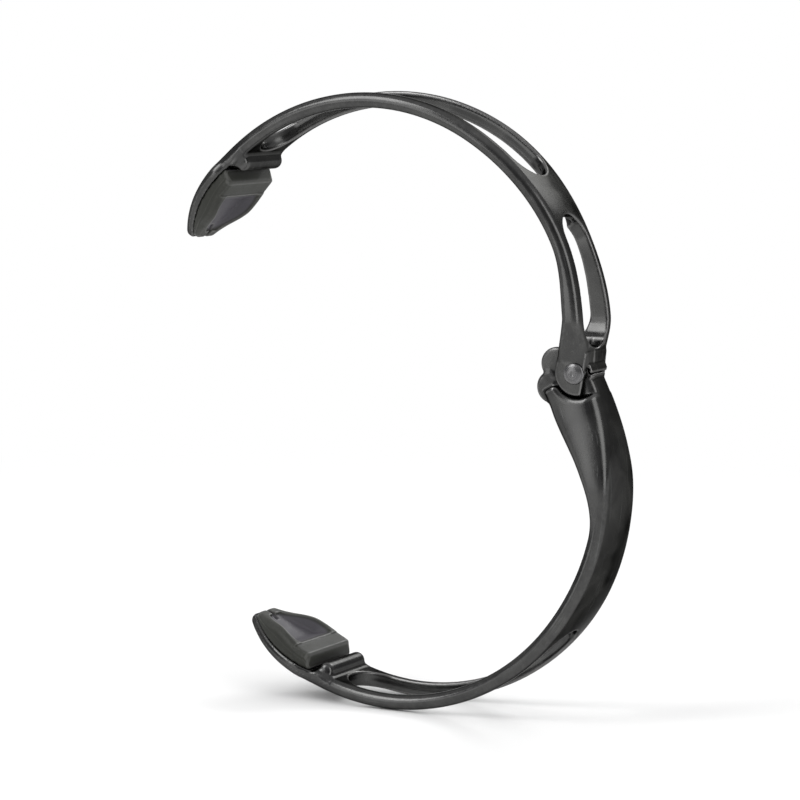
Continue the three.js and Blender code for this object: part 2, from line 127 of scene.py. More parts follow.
upper = {
    "side": 1,
    "tilt": math.radians(-8.2),
    "widths": (
        (flare_start, 2 * hinge_half),
        (flare_end, neck_width),
        (waist_arc, waist_width),
        (full_width_arc, arm_width),
    ),
    "depths": (
        (flare_start, upper_root_depth),
        (upper_neck_arc, upper_neck_depth),
        (upper_taper_end, arm_depth),
    ),
}
lower = {
    "side": -1,
    "tilt": math.radians(29.5),
    "widths": ((flare_start, 2 * hinge_half), (waist_arc, waist_width), (full_width_arc, arm_width)),
    "depths": ((lower_taper_start, lower_root_depth), (lower_taper_end, arm_depth)),
}
print("depth at the hinge: upper", upper_root_depth, "mm, lower", lower_root_depth, "mm")

# %% [markdown]
# ## Shapes as distances
# A polished casting has no sharp corner: each cut meets the next in a small round. Such rounds are hard to
# bevel on a mesh full of cuts. So each piece is described here by a function that is negative inside the
# metal, zero on its surface and positive outside. Joining and cutting such functions with a soft minimum
# gives the rounds by itself, as large as the last value says.

# %% Soft joins and cuts
def joined(a, b, soft):
    near = np.maximum(soft - np.abs(a - b), 0) / soft
    return np.minimum(a, b) - near * near * soft / 4


def within(a, b, soft):
    return -joined(-a, -b, soft)


def cut(a, b, soft):
    return -joined(-a, b, soft)


print("joining two faces with a round of 1 mm fills their corner by", -joined(0, 0, 1), "mm")

# %% Sharp cuts, for shapes that are then cut or joined softly
def common(*shapes):
    """What lies inside every one of the shapes."""
    inside = shapes[0]
    for shape in shapes[1:]:
        inside = np.maximum(inside, shape)
    return inside


def between(value, low, high):
    return np.maximum(low - value, value - high)


print("a point at 3 mm on a stretch from 0 to 10 mm lies", -between(3, 0, 10), "mm inside it")

# %% Sizes that change smoothly along an arm
def smooth_share(share):
    return share * share * (3 - 2 * share)


def follow(pairs, place):
    """Smooth steps between (place, value) pairs."""
    value = np.full_like(place, float(pairs[0][1]))
    for (start, before), (end, after) in zip(pairs, pairs[1:]):
        share = np.clip((place - start) / (end - start), 0, 1)
        value = np.where(place >= start, before + (after - before) * smooth_share(share), value)
    return value


quarter_way = follow(((0, 10), (1, 20)), np.array([0.25]))[0]
print("a quarter of the way from 10 to 20 mm, a smooth step has reached", quarter_way, "mm")

# %% [markdown]
# ### Where a point lies on an arm
# An arm is easy to describe when it is laid out straight: so wide here, so deep there. A Curve modifier could
# bend a straight arm, but then its cuts would bend too. So the question is turned round: each point of the
# bent arm is asked for its arc and its depth. An arm follows one circle, and near its foot a wider one.

# %% Arc and depth of a point
def in_ring(points, arm):
    """A point in the plane of an arm, measured from the middle of its ring."""
    cos, sin = math.cos(arm["tilt"]), math.sin(arm["tilt"])
    x = points[:, 0] * cos + points[:, 2] * sin + pin_path_radius
    z = arm["side"] * (points[:, 2] * cos - points[:, 0] * sin)
    return x, z


def from_wider_circle(x, z):
    return x - centre_shift * math.cos(straighten_angle), z - centre_shift * math.sin(straighten_angle)


def arm_place(points, arm):
    x, z = in_ring(points, arm)
    wide_x, wide_z = from_wider_circle(x, z)
    turned = np.arctan2(z, x)
    turned_wide = np.arctan2(wide_z, wide_x)
    late = turned > straighten_angle
    late_arc = straighten_arc + (turned_wide - straighten_angle) * straighten_radius
    late_depth = outer_radius - centre_shift - np.hypot(wide_x, wide_z)
    arc = np.where(late, late_arc, turned * rail_radius)
    depth = np.where(late, late_depth, outer_radius - np.hypot(x, z))
    return arc, depth, points[:, 1]


origin_arc, origin_depth, _ = arm_place(-PIN[None, :], upper)
print(f"the frame's origin lies on the upper arm at arc {origin_arc[0]:.2f}, depth {origin_depth[0]:.2f} mm")

# %% How wide and how deep the metal is
past_end_share = 1.2


def half_width(arm, arc):
    plain = follow(arm["widths"], arc) / 2
    swelling = follow(((foot_start, arm_width), (nose_start, foot_width)), arc) / 2
    share = np.clip((arc - nose_start) / nose_length, 0, past_end_share)
    nose = nose_width / 2 + (foot_width - nose_width) / 2 * (1 - share * share)
    return np.where(arc <= foot_start, plain, np.where(arc <= nose_start, swelling, nose))


def metal_depth(arm, arc):
    step_start = foot_start - foot_step_length
    foot_depths = ((step_start, arm_depth), (foot_start, foot_metal_depth), (arm_length, tip_metal_depth))
    return np.where(arc <= step_start, follow(arm["depths"], arc), follow(foot_depths, arc))


shown_arcs = np.array([flare_end, waist_arc, full_width_arc, nose_start, arm_length], float)
print("upper arm at arcs", shown_arcs, "is", (2 * half_width(upper, shown_arcs)).round(2), "mm wide")

# %% [markdown]
# ### The arms
# Each arm is one casting: a bar that follows the ring, thin like a strip, with a rounded rail along each
# edge, a shallow channel between the rails on the inner side, and long slots through the web. It could be
# swept along a curve, but the slots, the hinge and their rounds would still have to be cut in, so the whole
# arm is one function.

# %% A bar with round corners, and the openings between its rails
corner_radius, largest_corner = 1.05, 1.9
corner_per_thickness = 0.45
corner_share = 0.476


def rounded_bar(y, depth, half, outer, inner, corner=None):
    """A bar between two depths. No corner takes more than corner_share of the bar."""
    thick = (inner - outer) / 2
    if corner is None:
        corner = np.clip(corner_per_thickness * thick, corner_radius, largest_corner)
    corner = np.minimum(corner, 2 * corner_share * np.minimum(thick, half))
    over_y = np.abs(y) - (half - corner)
    over_depth = np.abs(depth - (outer + inner) / 2) - (thick - corner)
    outside = np.hypot(np.maximum(over_y, 0), np.maximum(over_depth, 0))
    return outside + np.minimum(np.maximum(over_y, over_depth), 0) - corner


def between_rails(arm, arc, y, start, end):
    """A round-ended opening between the rails, seen from above."""
    ends = half_width(arm, np.array([start, end], float)) - rail_width
    past = np.maximum(np.maximum(start + ends[0] - arc, arc - end + ends[1]), 0)
    return np.hypot(past, y) - (half_width(arm, arc) - rail_width)


strip_middle = rounded_bar(np.zeros(1), np.array([arm_depth / 2]), arm_width / 2, 0, arm_depth)[0]
print("the middle of the strip lies", -strip_middle, "mm under its surface")

# %% [markdown]
# The outer side of the bar is slightly crowned, and where it is deep, beside the hinge, its flanks are bowed.
# Flat flanks would each mirror one tone, and the bow draws the soft stripe of a hand-polished part. The edge
# under a pad stays crisp, because the pad lies flush with it. The small insets keep the finished surface from
# standing proud of the solid.

# %% The bar of an arm
crown_height = 0.3
outer_inset = 0.08
side_bow = 0.4
bow_from_depth, bow_full_depth = 3, 6
side_inset = 0.03
seat_edge_length = 4
seat_edge_corner = 0.12
seat_edge_round = 0.1
nose_round = 0.9


def arm_bar(arm, arc, depth, y):
    half = half_width(arm, arc)
    deep = metal_depth(arm, arc)
    crown = outer_inset - crown_height * (1 - np.clip(y / half, -1, 1) ** 2)
    across = (2 * depth - deep) / deep
    bow_share = np.clip((deep - bow_from_depth) / (bow_full_depth - bow_from_depth), 0, 1)
    bar = rounded_bar(y, depth, half - side_inset - side_bow * bow_share * across * across, crown, deep)
    edge_start = foot_start - seat_edge_length
    edge_corner = follow(((edge_start, corner_radius), (foot_start, seat_edge_corner)), arc)
    seat_edge = rounded_bar(y, depth, half - side_inset, crown, deep, edge_corner)
    seat_edge = common(seat_edge, deep / 2 - depth, edge_start - arc)
    return within(joined(bar, seat_edge, seat_edge_round), arc - arm_length, nose_round)


# %% The blank of an arm: its bar, the stop by the foot, the pad's recess and the channel
foot_stop_end_round, foot_stop_root_round = 1.2, 0.8
recess_round = 0.12
channel_end_gap = 4.5
channel_end = foot_start - channel_end_gap
channel_floor_round, channel_edge_round = 0.7, 0.45


def arm_blank(points, arm, channel_start):
    arc, depth, y = arm_place(points, arm)
    inside_rim = np.abs(y) - (half_width(arm, arc) - rim_width)
    stop = np.hypot(arc - foot_stop_arc, depth - arm_depth - foot_stop_rise) - foot_stop_radius
    stop = within(stop, inside_rim, foot_stop_end_round)
    metal = joined(arm_bar(arm, arc, depth, y), stop, foot_stop_root_round)
    recess_floor = metal_depth(arm, arc) - recess_depth
    recess_ends = between(arc, foot_start + rim_width, pad_end - rim_width)
    metal = cut(metal, common(inside_rim, recess_floor - depth, recess_ends), recess_round)
    channel = between_rails(arm, arc, y, channel_start, channel_end)
    channel = within(channel, web_thickness - depth, channel_floor_round)
    return cut(metal, channel, channel_edge_round), arc, depth, y


print("the channel ends", channel_end, "mm from the pin and the stop's crest is at", foot_stop_arc, "mm")

# %% [markdown]
# ### The hinge
# The upper arm ends in two eyes, one on each side, with a thin shroud between them over the outer side of the
# pin. The lower arm ends in a forked tongue between the eyes, with two rounded lobes on the inner side. All
# of it is discs and slices of discs round the pin, so two small helpers give every shape of it. A third one
# gives the holes for the legs of the spring.

# %% Sizes of the hinge
eye_radius = 3.5
eye_inner_face = 2.8
knuckle_radius = 1.7
shroud_radius = 1.9
barrel_radius = 2.35
tongue_half = 2.7
plate_outer_face, plate_inner_face = 2.45, 1.6
crossbar_half = 1.5
crossbar_height = 3.8
lobe_radius = 2.5
lobes = ((-3.8, 1.2), (-4.5, -2.4))
lobe_reach = 7.8
washer_radius = 1.25
bore_radius = 0.8
stop_gap = 0.1

crossbar_angle, lobe_clear_angle, tongue_clear_angle = 94, 70, 146
upper_inner_angle, lower_inner_angle = 156, 209.5
slice_lap = 1
print("play between tongue and eye:", round(eye_inner_face - tongue_half, 2), "mm on each side")

# %% Sizes of the spring, which both arms have holes for
wire_radius = 0.25
coil_turns, coil_pitch, coil_radius = 2.25, 0.95, 1.35
coil_half_length = coil_turns * coil_pitch / 2
coil_room_radius = 1.8
leg_hole_side = 1.07
leg_length, leg_offset = 2.9, 1.15
leg_hole_radius, leg_hole_start, leg_hole_overrun = 0.5, 0.85, 0.5
leg_hole_end = leg_length + leg_hole_overrun
print("gap between two turns:", round(coil_pitch - 2 * wire_radius, 2), "mm")

# %% Discs, slices and holes round the pin
def disc(points, radius, half_length, x=0.0, z=0.0, soft=0.0, dome=0.0):
    """A disc beside the pin. Its rim is rounded by soft, and its faces fall away towards the rim by dome."""
    round_part = np.hypot(points[:, 0] - x, points[:, 2] - z) - radius
    side_part = np.abs(points[:, 1]) - half_length
    side_part = side_part + dome * np.clip(round_part / radius + 1, 0, past_end_share) ** 2
    return within(round_part, side_part, soft) if soft else np.maximum(round_part, side_part)


def slice_of(points, start, end):
    """The slice between two angles that grow from +X towards +Z."""
    start, end = math.radians(start), math.radians(end)
    x, z = points[:, 0], points[:, 2]
    past_start = -(math.cos(start) * z - math.sin(start) * x)
    before_end = math.cos(end) * z - math.sin(end) * x
    wide = end - start > math.pi
    return np.minimum(past_start, before_end) if wide else np.maximum(past_start, before_end)


def leg_hole(points, x, y, from_z, to_z):
    hole = np.hypot(points[:, 0] - x, points[:, 1] - y) - leg_hole_radius
    return common(hole, between(points[:, 2], from_z, to_z))


beside_eye = np.array([[eye_radius + 1, 0, 0]])
print("a point 1 mm beside an eye measures", disc(beside_eye, eye_radius, hinge_half)[0], "mm")

# %% The upper arm as one function
bridge_start, bridge_end = 24, 31
slice_round, barrel_round, shroud_round, hole_round = 0.5, 0.15, 0.1, 0.1
eye_round, eye_dome, eye_outer_round, eye_root_round = 0.5, 0.25, 0.12, 0.6
open_side_round, beside_round, stop_face_round, slot_round = 0.25, 0.2, 0.12, 0.4


def upper_arm_shape(points):
    metal, arc, depth, y = arm_blank(points, upper, bridge_start - arm_depth)
    x, z = points[:, 0], points[:, 2]
    around = np.hypot(x, z)
    inner_slice = slice_of(points, upper_inner_angle, 360)
    metal = cut(metal, common(inner_slice, around - outer_radius), slice_round)
    eyes = disc(points, eye_radius, hinge_half, soft=eye_round, dome=eye_dome)
    metal = joined(metal, within(eyes, -depth, eye_outer_round), eye_root_round)
    metal = joined(metal, disc(points, barrel_radius, eye_inner_face), barrel_round)
    metal = cut(metal, disc(points, shroud_radius, eye_inner_face), shroud_round)
    between_eyes = np.abs(y) - eye_inner_face
    tongue_room = common(around - lobe_reach, between_eyes)
    metal = cut(metal, common(tongue_room, slice_of(points, crossbar_angle, 360)), open_side_round)
    beside_slice = slice_of(points, lobe_clear_angle, crossbar_angle + slice_lap)
    metal = cut(metal, common(tongue_room, crossbar_half - np.abs(y), beside_slice), beside_round)
    metal = cut(metal, common(-x, z - stop_gap / 2, between_eyes), stop_face_round)
    metal = cut(metal, between_rails(upper, arc, y, crossbar_height, bridge_start), slot_round)
    metal = cut(metal, between_rails(upper, arc, y, bridge_end, channel_end), slot_round)
    spring_hole = leg_hole(points, leg_offset, -leg_hole_side, leg_hole_start, leg_hole_end)
    metal = cut(metal, spring_hole, hole_round)
    return cut(metal, around - bore_radius, hole_round)


pin_middle = np.zeros((1, 3))
print(f"the pin's middle is {upper_arm_shape(pin_middle)[0]:.2f} mm from the upper arm's metal")

# %% The lower arm as one function
knuckle_round, lobe_round, lobe_root_round, fork_round, tongue_root_round = 0.2, 0.5, 0.35, 0.2, 0.4
eye_clearance, side_clearance, washer_clearance = 0.2, 0.05, 0.2
pocket_corner_round, pocket_edge_round = 0.2, 1.1
slot_run_out, run_out_start, run_out_round = 5, 0.5, 0.3
overrun = 1


def forked_tongue(points):
    tongue = disc(points, knuckle_radius, tongue_half, soft=knuckle_round)
    for lobe_x, lobe_z in lobes:
        lobe = disc(points, lobe_radius, tongue_half, lobe_x, lobe_z, lobe_round)
        tongue = joined(tongue, lobe, lobe_root_round)
    fork = common(slice_of(points, 0, tongue_clear_angle), np.abs(points[:, 1]) - plate_inner_face)
    return cut(tongue, fork, fork_round)


def lower_arm_shape(points):
    metal, arc, depth, y = arm_blank(points, lower, lower_taper_end)
    x, z = points[:, 0], points[:, 2]
    around = np.hypot(x, z)
    side = np.abs(y)
    metal = joined(metal, disc(points, barrel_radius, tongue_half), barrel_round)
    inner_slice = slice_of(points, 0, lower_inner_angle)
    metal = cut(metal, common(inner_slice, around - outer_radius), slice_round)
    metal = cut(metal, common(-x, -stop_gap / 2 - z), stop_face_round)
    metal = joined(metal, forked_tongue(points), tongue_root_round)
    eye_pocket = around - eye_radius - eye_clearance
    eye_pocket = within(eye_pocket, eye_inner_face - side_clearance - side, pocket_corner_round)
    metal = cut(metal, eye_pocket, pocket_edge_round)
    metal = cut(metal, common(around - washer_radius - washer_clearance, plate_outer_face - side), hole_round)
    metal = cut(metal, common(around - coil_room_radius, side - plate_inner_face), hole_round)
    whole = metal_depth(lower, arc) + overrun
    sloped = depth - np.minimum(whole, run_out_start + (arc - full_width_arc) / slot_run_out * whole)
    slot = between_rails(lower, arc, y, full_width_arc, channel_end)
    metal = cut(metal, within(slot, sloped, run_out_round), slot_round)
    metal = cut(metal, leg_hole(points, -coil_radius, leg_hole_side, -leg_hole_end, 0), hole_round)
    return cut(metal, around - bore_radius, hole_round)


print(f"the pin's middle is {lower_arm_shape(pin_middle)[0]:.2f} mm from the lower arm's metal")

# %% [markdown]
# ### The grip pads
# Each foot carries a boat-shaped pad of soft rubber. Its lips rise from the rim of the foot, meet at the
# nose and leave a hollow between them, and at the root there is a flat land to rest on. The pads could be
# modelled with a subdivision surface, but the same way of describing a shape fits them to the foot without
# any fitting by eye, with softer rounds. The walls of the hollow slope, so their sideways distance is a
# little too long, and wall_slope_share corrects it.

# %% The lips, the floor of the hollow and the flat land
foot_height, tip_height = 4.9, 2.6
land_length, land_height = 1.6, 4.5
pad_end_slope = 1.3
pad_floor = 0.9
seat_gap = 0.3
hollow_rise = 4
pad_start = foot_start + seat_gap


def lip_height(arc):
    return follow((
        (pad_start, foot_metal_depth + recess_depth),
        (pad_start + pad_end_slope, land_height),
        (arm_length - foot_length / 2, foot_height),
        (arm_length, tip_height),
    ), arc)


def hollow_floor(arc, deep, lip, hollow_start):
    share = smooth_share(np.clip((arc - hollow_start) / hollow_rise, 0, 1))
    shallow = lip + seat_gap / 2
    return shallow + (deep + seat_gap + pad_floor - shallow) * share


def above_land(points, arm):
    """What lies over the true plane of the land."""
    land_arc = pad_start + pad_end_slope + land_length / 2
    angle = straighten_angle + (land_arc - straighten_arc) / straighten_radius
    wide_x, wide_z = from_wider_circle(*in_ring(points, arm))
    outward = wide_x * math.cos(angle) + wide_z * math.sin(angle)
    along = wide_z * math.cos(angle) - wide_x * math.sin(angle)
    depth = outer_radius - centre_shift - outward
    return common(np.abs(along) - (land_length + pad_end_slope) / 2, land_height - depth)


print(f"the frame's origin is {above_land(-PIN[None, :], upper)[0]:.3f} mm from the plane of the land")

# %% A grip pad as one function
seat_lap, seat_corner, seat_round, plug_round = 0.08, 0.05, 0.1, 0.05
lip_top_width, lip_foot_width, lip_round = 0.8, 2.2, 0.3
wall_slope_share = 0.95
pad_end_round, hollow_floor_round, hollow_end_round, land_round = 0.6, 0.5, 0.3, 0.3
tip_notch_width, tip_notch_length, notch_round = 0.9, 1.6, 0.2


def pad_body(arm, arc, depth, y):
    """The block of the pad, and the plug under it that fills the recess of the foot."""
    half = half_width(arm, arc)
    deep = metal_depth(arm, arc)
    lip = lip_height(arc)
    body = rounded_bar(y, depth, half - side_inset, deep - seat_lap, lip)
    seat = rounded_bar(y, depth, half - side_inset, deep - seat_lap, (deep + lip) / 2, seat_corner)
    body = within(joined(body, seat, seat_round), between(arc, pad_start, pad_end), pad_end_round)
    plug_side = np.abs(y) - (half - rim_width - seat_gap)
    plug_ends = between(arc, pad_start + rim_width, pad_end - rim_width - seat_gap)
    plug_depth = between(depth, deep - recess_depth + seat_gap, deep + pad_floor)
    return joined(body, common(plug_side, plug_ends, plug_depth), plug_round)


def pad_shape(points, arm):
    arc, depth, y = arm_place(points, arm)
    half = half_width(arm, arc)
    deep = metal_depth(arm, arc)
    lip = lip_height(arc)
    hollow_start = pad_start + pad_end_slope + land_length
    hollow_end = pad_end - tip_notch_length
    floor = hollow_floor(arc, deep, lip, hollow_start)
    top_half = np.maximum(tip_notch_width / 2, half - lip_top_width)
    floor_half = np.maximum(tip_notch_width / 4, half - lip_foot_width)
    share = np.clip((depth - floor) / (lip + overrun - floor), 0, 1)
    wall = (np.abs(y) - (floor_half + (top_half - floor_half) * share)) * wall_slope_share
    hollow = within(wall, floor - depth, hollow_floor_round)
    hollow = within(hollow, between(arc, hollow_start, hollow_end), hollow_end_round)
    rubber = cut(pad_body(arm, arc, depth, y), hollow, lip_round)
    notch_side = np.abs(y) - tip_notch_width / 2
    notch = common(notch_side, deep + seat_gap + pad_floor / 2 - depth, hollow_end - overrun - arc)
    return cut(cut(rubber, notch, notch_round), above_land(points, arm), land_round)


pad_middle = np.array([arm_length - foot_length / 2])
middle_lip = lip_height(pad_middle)
middle_floor = hollow_floor(pad_middle, metal_depth(upper, pad_middle), middle_lip, foot_start)
print(f"in its middle the hollow of a pad is {(middle_lip - middle_floor)[0]:.2f} mm deep")

# %% [markdown]
# ## From a function to a mesh
# The solid of the piece is copied, its loose triangles are merged, and a Remesh modifier turns it into small
# even squares. Then every point slides onto the zero surface of the function, a few short steps down the
# slope, and is evened out between steps. The result is smooth enough for a polished finish, and it lies
# where the solid lies. Marching cubes over the function would give a mesh too, but with thin slivers.

# %% Copy and remesh a solid
merge_distance = 0.001


def add_object(name, data):
    made = bpy.data.objects.new(name, data)
    bpy.context.scene.collection.objects.link(made)
    return made


def remeshed(node, voxel):
    copy = frame["nodes"][node].data.copy()
    tool = bmesh.new()
    tool.from_mesh(copy)
    bmesh.ops.remove_doubles(tool, verts=tool.verts, dist=merge_distance * MM)
    bmesh.ops.scale(tool, verts=tool.verts, vec=(1 / MM, 1 / MM, 1 / MM))
    tool.to_mesh(copy)
    tool.free()
    carrier = add_object(node + "_copy", copy)
    modifier = carrier.modifiers.new("even squares", "REMESH")
    modifier.mode = "VOXEL"
    modifier.voxel_size = voxel
    graph = bpy.context.evaluated_depsgraph_get()
    made = bpy.data.meshes.new_from_object(carrier.evaluated_get(graph))
    bpy.data.objects.remove(carrier)
    print(f"{node}: {len(copy.polygons)} faces of the solid become {len(made.polygons)} even squares")
    return made


# %% Measure the function round a point
slope_reach, bending_reach = 0.03, 0.22
nearly_zero = 1e-9


def axis_steps(reach):
    return reach * np.eye(3)


def slope_of(points, shape):
    """How fast the function grows along each axis."""
    rises = [shape(points + step) - shape(points - step) for step in axis_steps(slope_reach)]
    return np.stack(rises, 1) / (2 * slope_reach)


def bending(points, shape):
    """How sharply the surface bends: above zero on an edge, below zero in a corner."""
    total = -6 * shape(points)
    for step in axis_steps(bending_reach):
        total += shape(points + step) + shape(points - step)
    return total / bending_reach**2


rim_point = np.array([[eye_radius, 0, 0]])
rim_bending = bending(rim_point, lambda points: disc(points, eye_radius, hinge_half))[0]
print(f"the plain rim of an eye bends by {rim_bending:.2f} per mm, one over its radius")

# %% Slide the points onto the smooth surface, and even them out
least_slope, longest_step = 0.3, 0.15


def settled(points, shape, rounds):
    for _ in range(rounds):
        slope = slope_of(points, shape)
        steep = np.maximum((slope * slope).sum(1), least_slope)
        move = slope * (shape(points) / steep)[:, None]
        length = np.linalg.norm(move, axis=1)
        points = points - move * np.minimum(1, longest_step / np.maximum(length, nearly_zero))[:, None]
    return points


def evened(points, edges, share):
    """Moves each point part of the way to the middle of its neighbours."""
    total = np.zeros_like(points)
    count = np.zeros(len(points))
    for a, b in ((0, 1), (1, 0)):
        for axis in range(3):
            total[:, axis] += np.bincount(edges[:, a], points[edges[:, b], axis], len(points))
        count += np.bincount(edges[:, a], minlength=len(points))
    return points + share * (total / count[:, None] - points)


slid_point = settled(rim_point * 1.1, lambda points: disc(points, eye_radius, hinge_half), 3)
print(f"a point beside that rim slides to {slid_point[0, 0]:.2f} mm from the pin")

# %% [markdown]
# Some facts about each point are kept on the mesh as attributes, because the materials need them: how sharply
# the surface bends, for wear on the edges and painted shade in the corners, and the place along the arm, for
# marks that run lengthways. The pads also keep what lies in their hollow, where dust gathers.

# %% Keep facts on the points, and put a piece on its body
def store(mesh, name, kind, values):
    attribute = mesh.attributes.new(name, kind, "POINT")
    key = "vector" if kind == "FLOAT_VECTOR" else "value"
    attribute.data.foreach_set(key, np.asarray(values, np.float32).ravel())


def finished(mesh, name, body, node, material):
    """Names the piece, puts it on its body and says which solid it stands for."""
    mesh.name = name
    mesh.shade_smooth()
    mesh.materials.clear()
    mesh.materials.append(material)
    piece = add_object(name, mesh)
    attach(piece, body)
    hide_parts(node)
    print(f"{name} rides on the {body} arm and stands for {node}")
    return piece


# %% Make a smooth mesh from a solid and its function
sliding_passes, rounds_in_a_pass, last_rounds = 3, 2, 3
evening_share = 0.5
highest_bending = 6


def smooth_mesh(node, shape, arm, voxel):
    mesh = remeshed(node, voxel)
    points = np.empty(3 * len(mesh.vertices))
    mesh.vertices.foreach_get("co", points)
    points = points.reshape(-1, 3) - PIN
    edges = np.empty(2 * len(mesh.edges), int)
    mesh.edges.foreach_get("vertices", edges)
    edges = edges.reshape(-1, 2)
    for _ in range(sliding_passes):
        points = settled(evened(points, edges, evening_share), shape, rounds_in_a_pass)
    points = settled(points, shape, last_rounds)
    off = np.abs(shape(points)) / np.linalg.norm(slope_of(points, shape), axis=1).clip(least_slope)
    store(mesh, "bending", "FLOAT", np.clip(bending(points, shape), -highest_bending, highest_bending))
    store(mesh, "lay", "FLOAT_VECTOR", np.stack(arm_place(points, arm), 1))
    mesh.vertices.foreach_set("co", ((points + PIN) * MM).ravel())
    mesh.update()
    print(f"{node}: {len(mesh.polygons)} faces, 99% within {np.percentile(off, 99):.4f} mm of its surface")
    return mesh, points


# %% [markdown]
# ## Finishes
# Four effects come back in several materials: wear that gathers on edges, together with painted shade in the
# corners, fine scratches that run one way, slow blotches, and a fine grain. They could be painted, but noise
# in space needs no unwrapping and fits at any zoom. Each is a node group with named inputs, built once. A
# group gives only masks and heights. The shader itself stays in each material.

# %% Helpers for nodes
def linked(tree, kind, inputs=(), **settings):
    """Adds a node, sets its settings and links or fills its inputs by name or number."""
    node = tree.nodes.new(kind)
    for key, value in settings.items():
        setattr(node, key, value)
    for key, value in dict(inputs).items():
        if isinstance(value, bpy.types.NodeSocket):
            tree.links.new(value, node.inputs[key])
        else:
            node.inputs[key].default_value = value
    return node


def maths(tree, operation, a, b=0.0, clamp=False):
    return linked(tree, "ShaderNodeMath", {0: a, 1: b}, operation=operation, use_clamp=clamp).outputs[0]


def ranged(tree, value, low, high, to_low=0.0, to_high=1.0):
    places = {"Value": value, "From Min": low, "From Max": high, "To Min": to_low, "To Max": to_high}
    return linked(tree, "ShaderNodeMapRange", places, interpolation_type="SMOOTHSTEP").outputs["Result"]


def tinted(tree, share, a, b):
    node = linked(tree, "ShaderNodeMix", {0: share, 6: a, 7: b}, data_type="RGBA")
    return node.outputs[2]


# %% Helpers that stack colours and add values
def grey(value):
    return (value, value, value, 1)


def layered(tree, base, *layers):
    """Lays colours over a base colour, each one a (mask, strength, colour)."""
    for mask, strength, colour in layers:
        base = tinted(tree, maths(tree, "MULTIPLY", mask, strength), base, colour)
    return base


def summed(tree, start, *terms):
    """Adds masks to a start value, each one a (mask, weight)."""
    for mask, weight in terms:
        start = maths(tree, "ADD", start, maths(tree, "MULTIPLY", mask, weight))
    return start


# %% Helpers for node groups
FLOAT, VECTOR = "NodeSocketFloat", "NodeSocketVector"
PLACE = ("Place", VECTOR, None)


def group(name, inputs, outputs):
    tree = bpy.data.node_groups.new(name, "ShaderNodeTree")
    for label, kind, default in inputs:
        socket = tree.interface.new_socket(label, in_out="INPUT", socket_type=kind)
        if default is not None:
            socket.default_value = default
    for label in outputs:
        tree.interface.new_socket(label, in_out="OUTPUT", socket_type=FLOAT)
    start = tree.nodes.new("NodeGroupInput").outputs
    end = tree.nodes.new("NodeGroupOutput").inputs
    return tree, start, end


def noise(tree, place, scale, detail, roughness, distortion=0.0):
    values = {"Vector": place, "Scale": scale, "Detail": detail, "Roughness": roughness}
    values["Distortion"] = distortion
    return linked(tree, "ShaderNodeTexNoise", values).outputs["Fac"]


def placed(tree, made, inputs):
    return linked(tree, "ShaderNodeGroup", inputs, node_tree=made).outputs


# %% Edge wear, and painted shade in corners
def wear_and_shade_group():
    """Wear where the surface bends out and Hollow, for painted shade, where it bends in, both with a ragged
    edge.
    """
    inputs = (PLACE, ("Bending", FLOAT, 0.0), ("Scale", FLOAT, 1.0), ("Start", FLOAT, 0.6),
              ("Full", FLOAT, 2.5), ("Breakup", FLOAT, 1.5))
    tree, start, end = group("wear_and_corner_shade", inputs, ["Wear", "Hollow"])
    spots = noise(tree, start["Place"], start["Scale"], 5.0, 0.65)
    ragged = maths(tree, "MULTIPLY", maths(tree, "SUBTRACT", spots, 0.5), start["Breakup"])
    outward = maths(tree, "ADD", start["Bending"], ragged)
    inward = maths(tree, "MULTIPLY", outward, -1.0)
    tree.links.new(ranged(tree, outward, start["Start"], start["Full"]), end["Wear"])
    tree.links.new(ranged(tree, inward, start["Start"], start["Full"]), end["Hollow"])
    return tree


wear_and_corner_shade = wear_and_shade_group()
print("built", wear_and_corner_shade.name)

# %% Fine scratches
scratch_edge = 0.12


def scratches_group():
    """Noise that is drawn out in the direction with the lower value. Rare says how few scratches show."""
    inputs = (PLACE, ("Along", FLOAT, 0.05), ("Across", FLOAT, 6.0), ("Rare", FLOAT, 0.62))
    tree, start, end = group("fine_scratches", inputs, ["Scratch", "Height"])
    along, across = start["Along"], start["Across"]
    stretch = linked(tree, "ShaderNodeCombineXYZ", {0: along, 1: across, 2: across}).outputs[0]
    drawn_out = {0: start["Place"], 1: stretch}
    place = linked(tree, "ShaderNodeVectorMath", drawn_out, operation="MULTIPLY").outputs[0]
    lines = noise(tree, place, 1.0, 3.0, 0.6, 0.4)
    full = maths(tree, "ADD", start["Rare"], scratch_edge)
    tree.links.new(ranged(tree, lines, start["Rare"], full), end["Scratch"])
    tree.links.new(lines, end["Height"])
    return tree


scratches = scratches_group()
print("built", scratches.name)

# %% Slow blotches
def blotches_group():
    inputs = (PLACE, ("Scale", FLOAT, 0.2), ("Contrast", FLOAT, 1.0))
    tree, start, end = group("slow_blotches", inputs, ["Blotch"])
    patches = noise(tree, start["Place"], start["Scale"], 4.0, 0.55, 0.6)
    spread = maths(tree, "MULTIPLY", maths(tree, "SUBTRACT", patches, 0.5), start["Contrast"])
    tree.links.new(maths(tree, "ADD", spread, 0.5, clamp=True), end["Blotch"])
    return tree


blotches = blotches_group()
print("built", blotches.name)

# %% Fine grain
pore_size = 0.35


def grain_group():
    """The skin of a moulding or a casting: a fine height, and small round pores."""
    inputs = (PLACE, ("Scale", FLOAT, 6.0))
    tree, start, end = group("fine_grain", inputs, ["Height", "Pores"])
    cells = linked(tree, "ShaderNodeTexVoronoi", {"Vector": start["Place"], "Scale": start["Scale"]})
    tree.links.new(noise(tree, start["Place"], start["Scale"], 6.0, 0.7), end["Height"])
    tree.links.new(ranged(tree, cells.outputs["Distance"], 0.0, pore_size, 1.0, 0.0), end["Pores"])
    return tree


grain = grain_group()
print("built", grain.name)

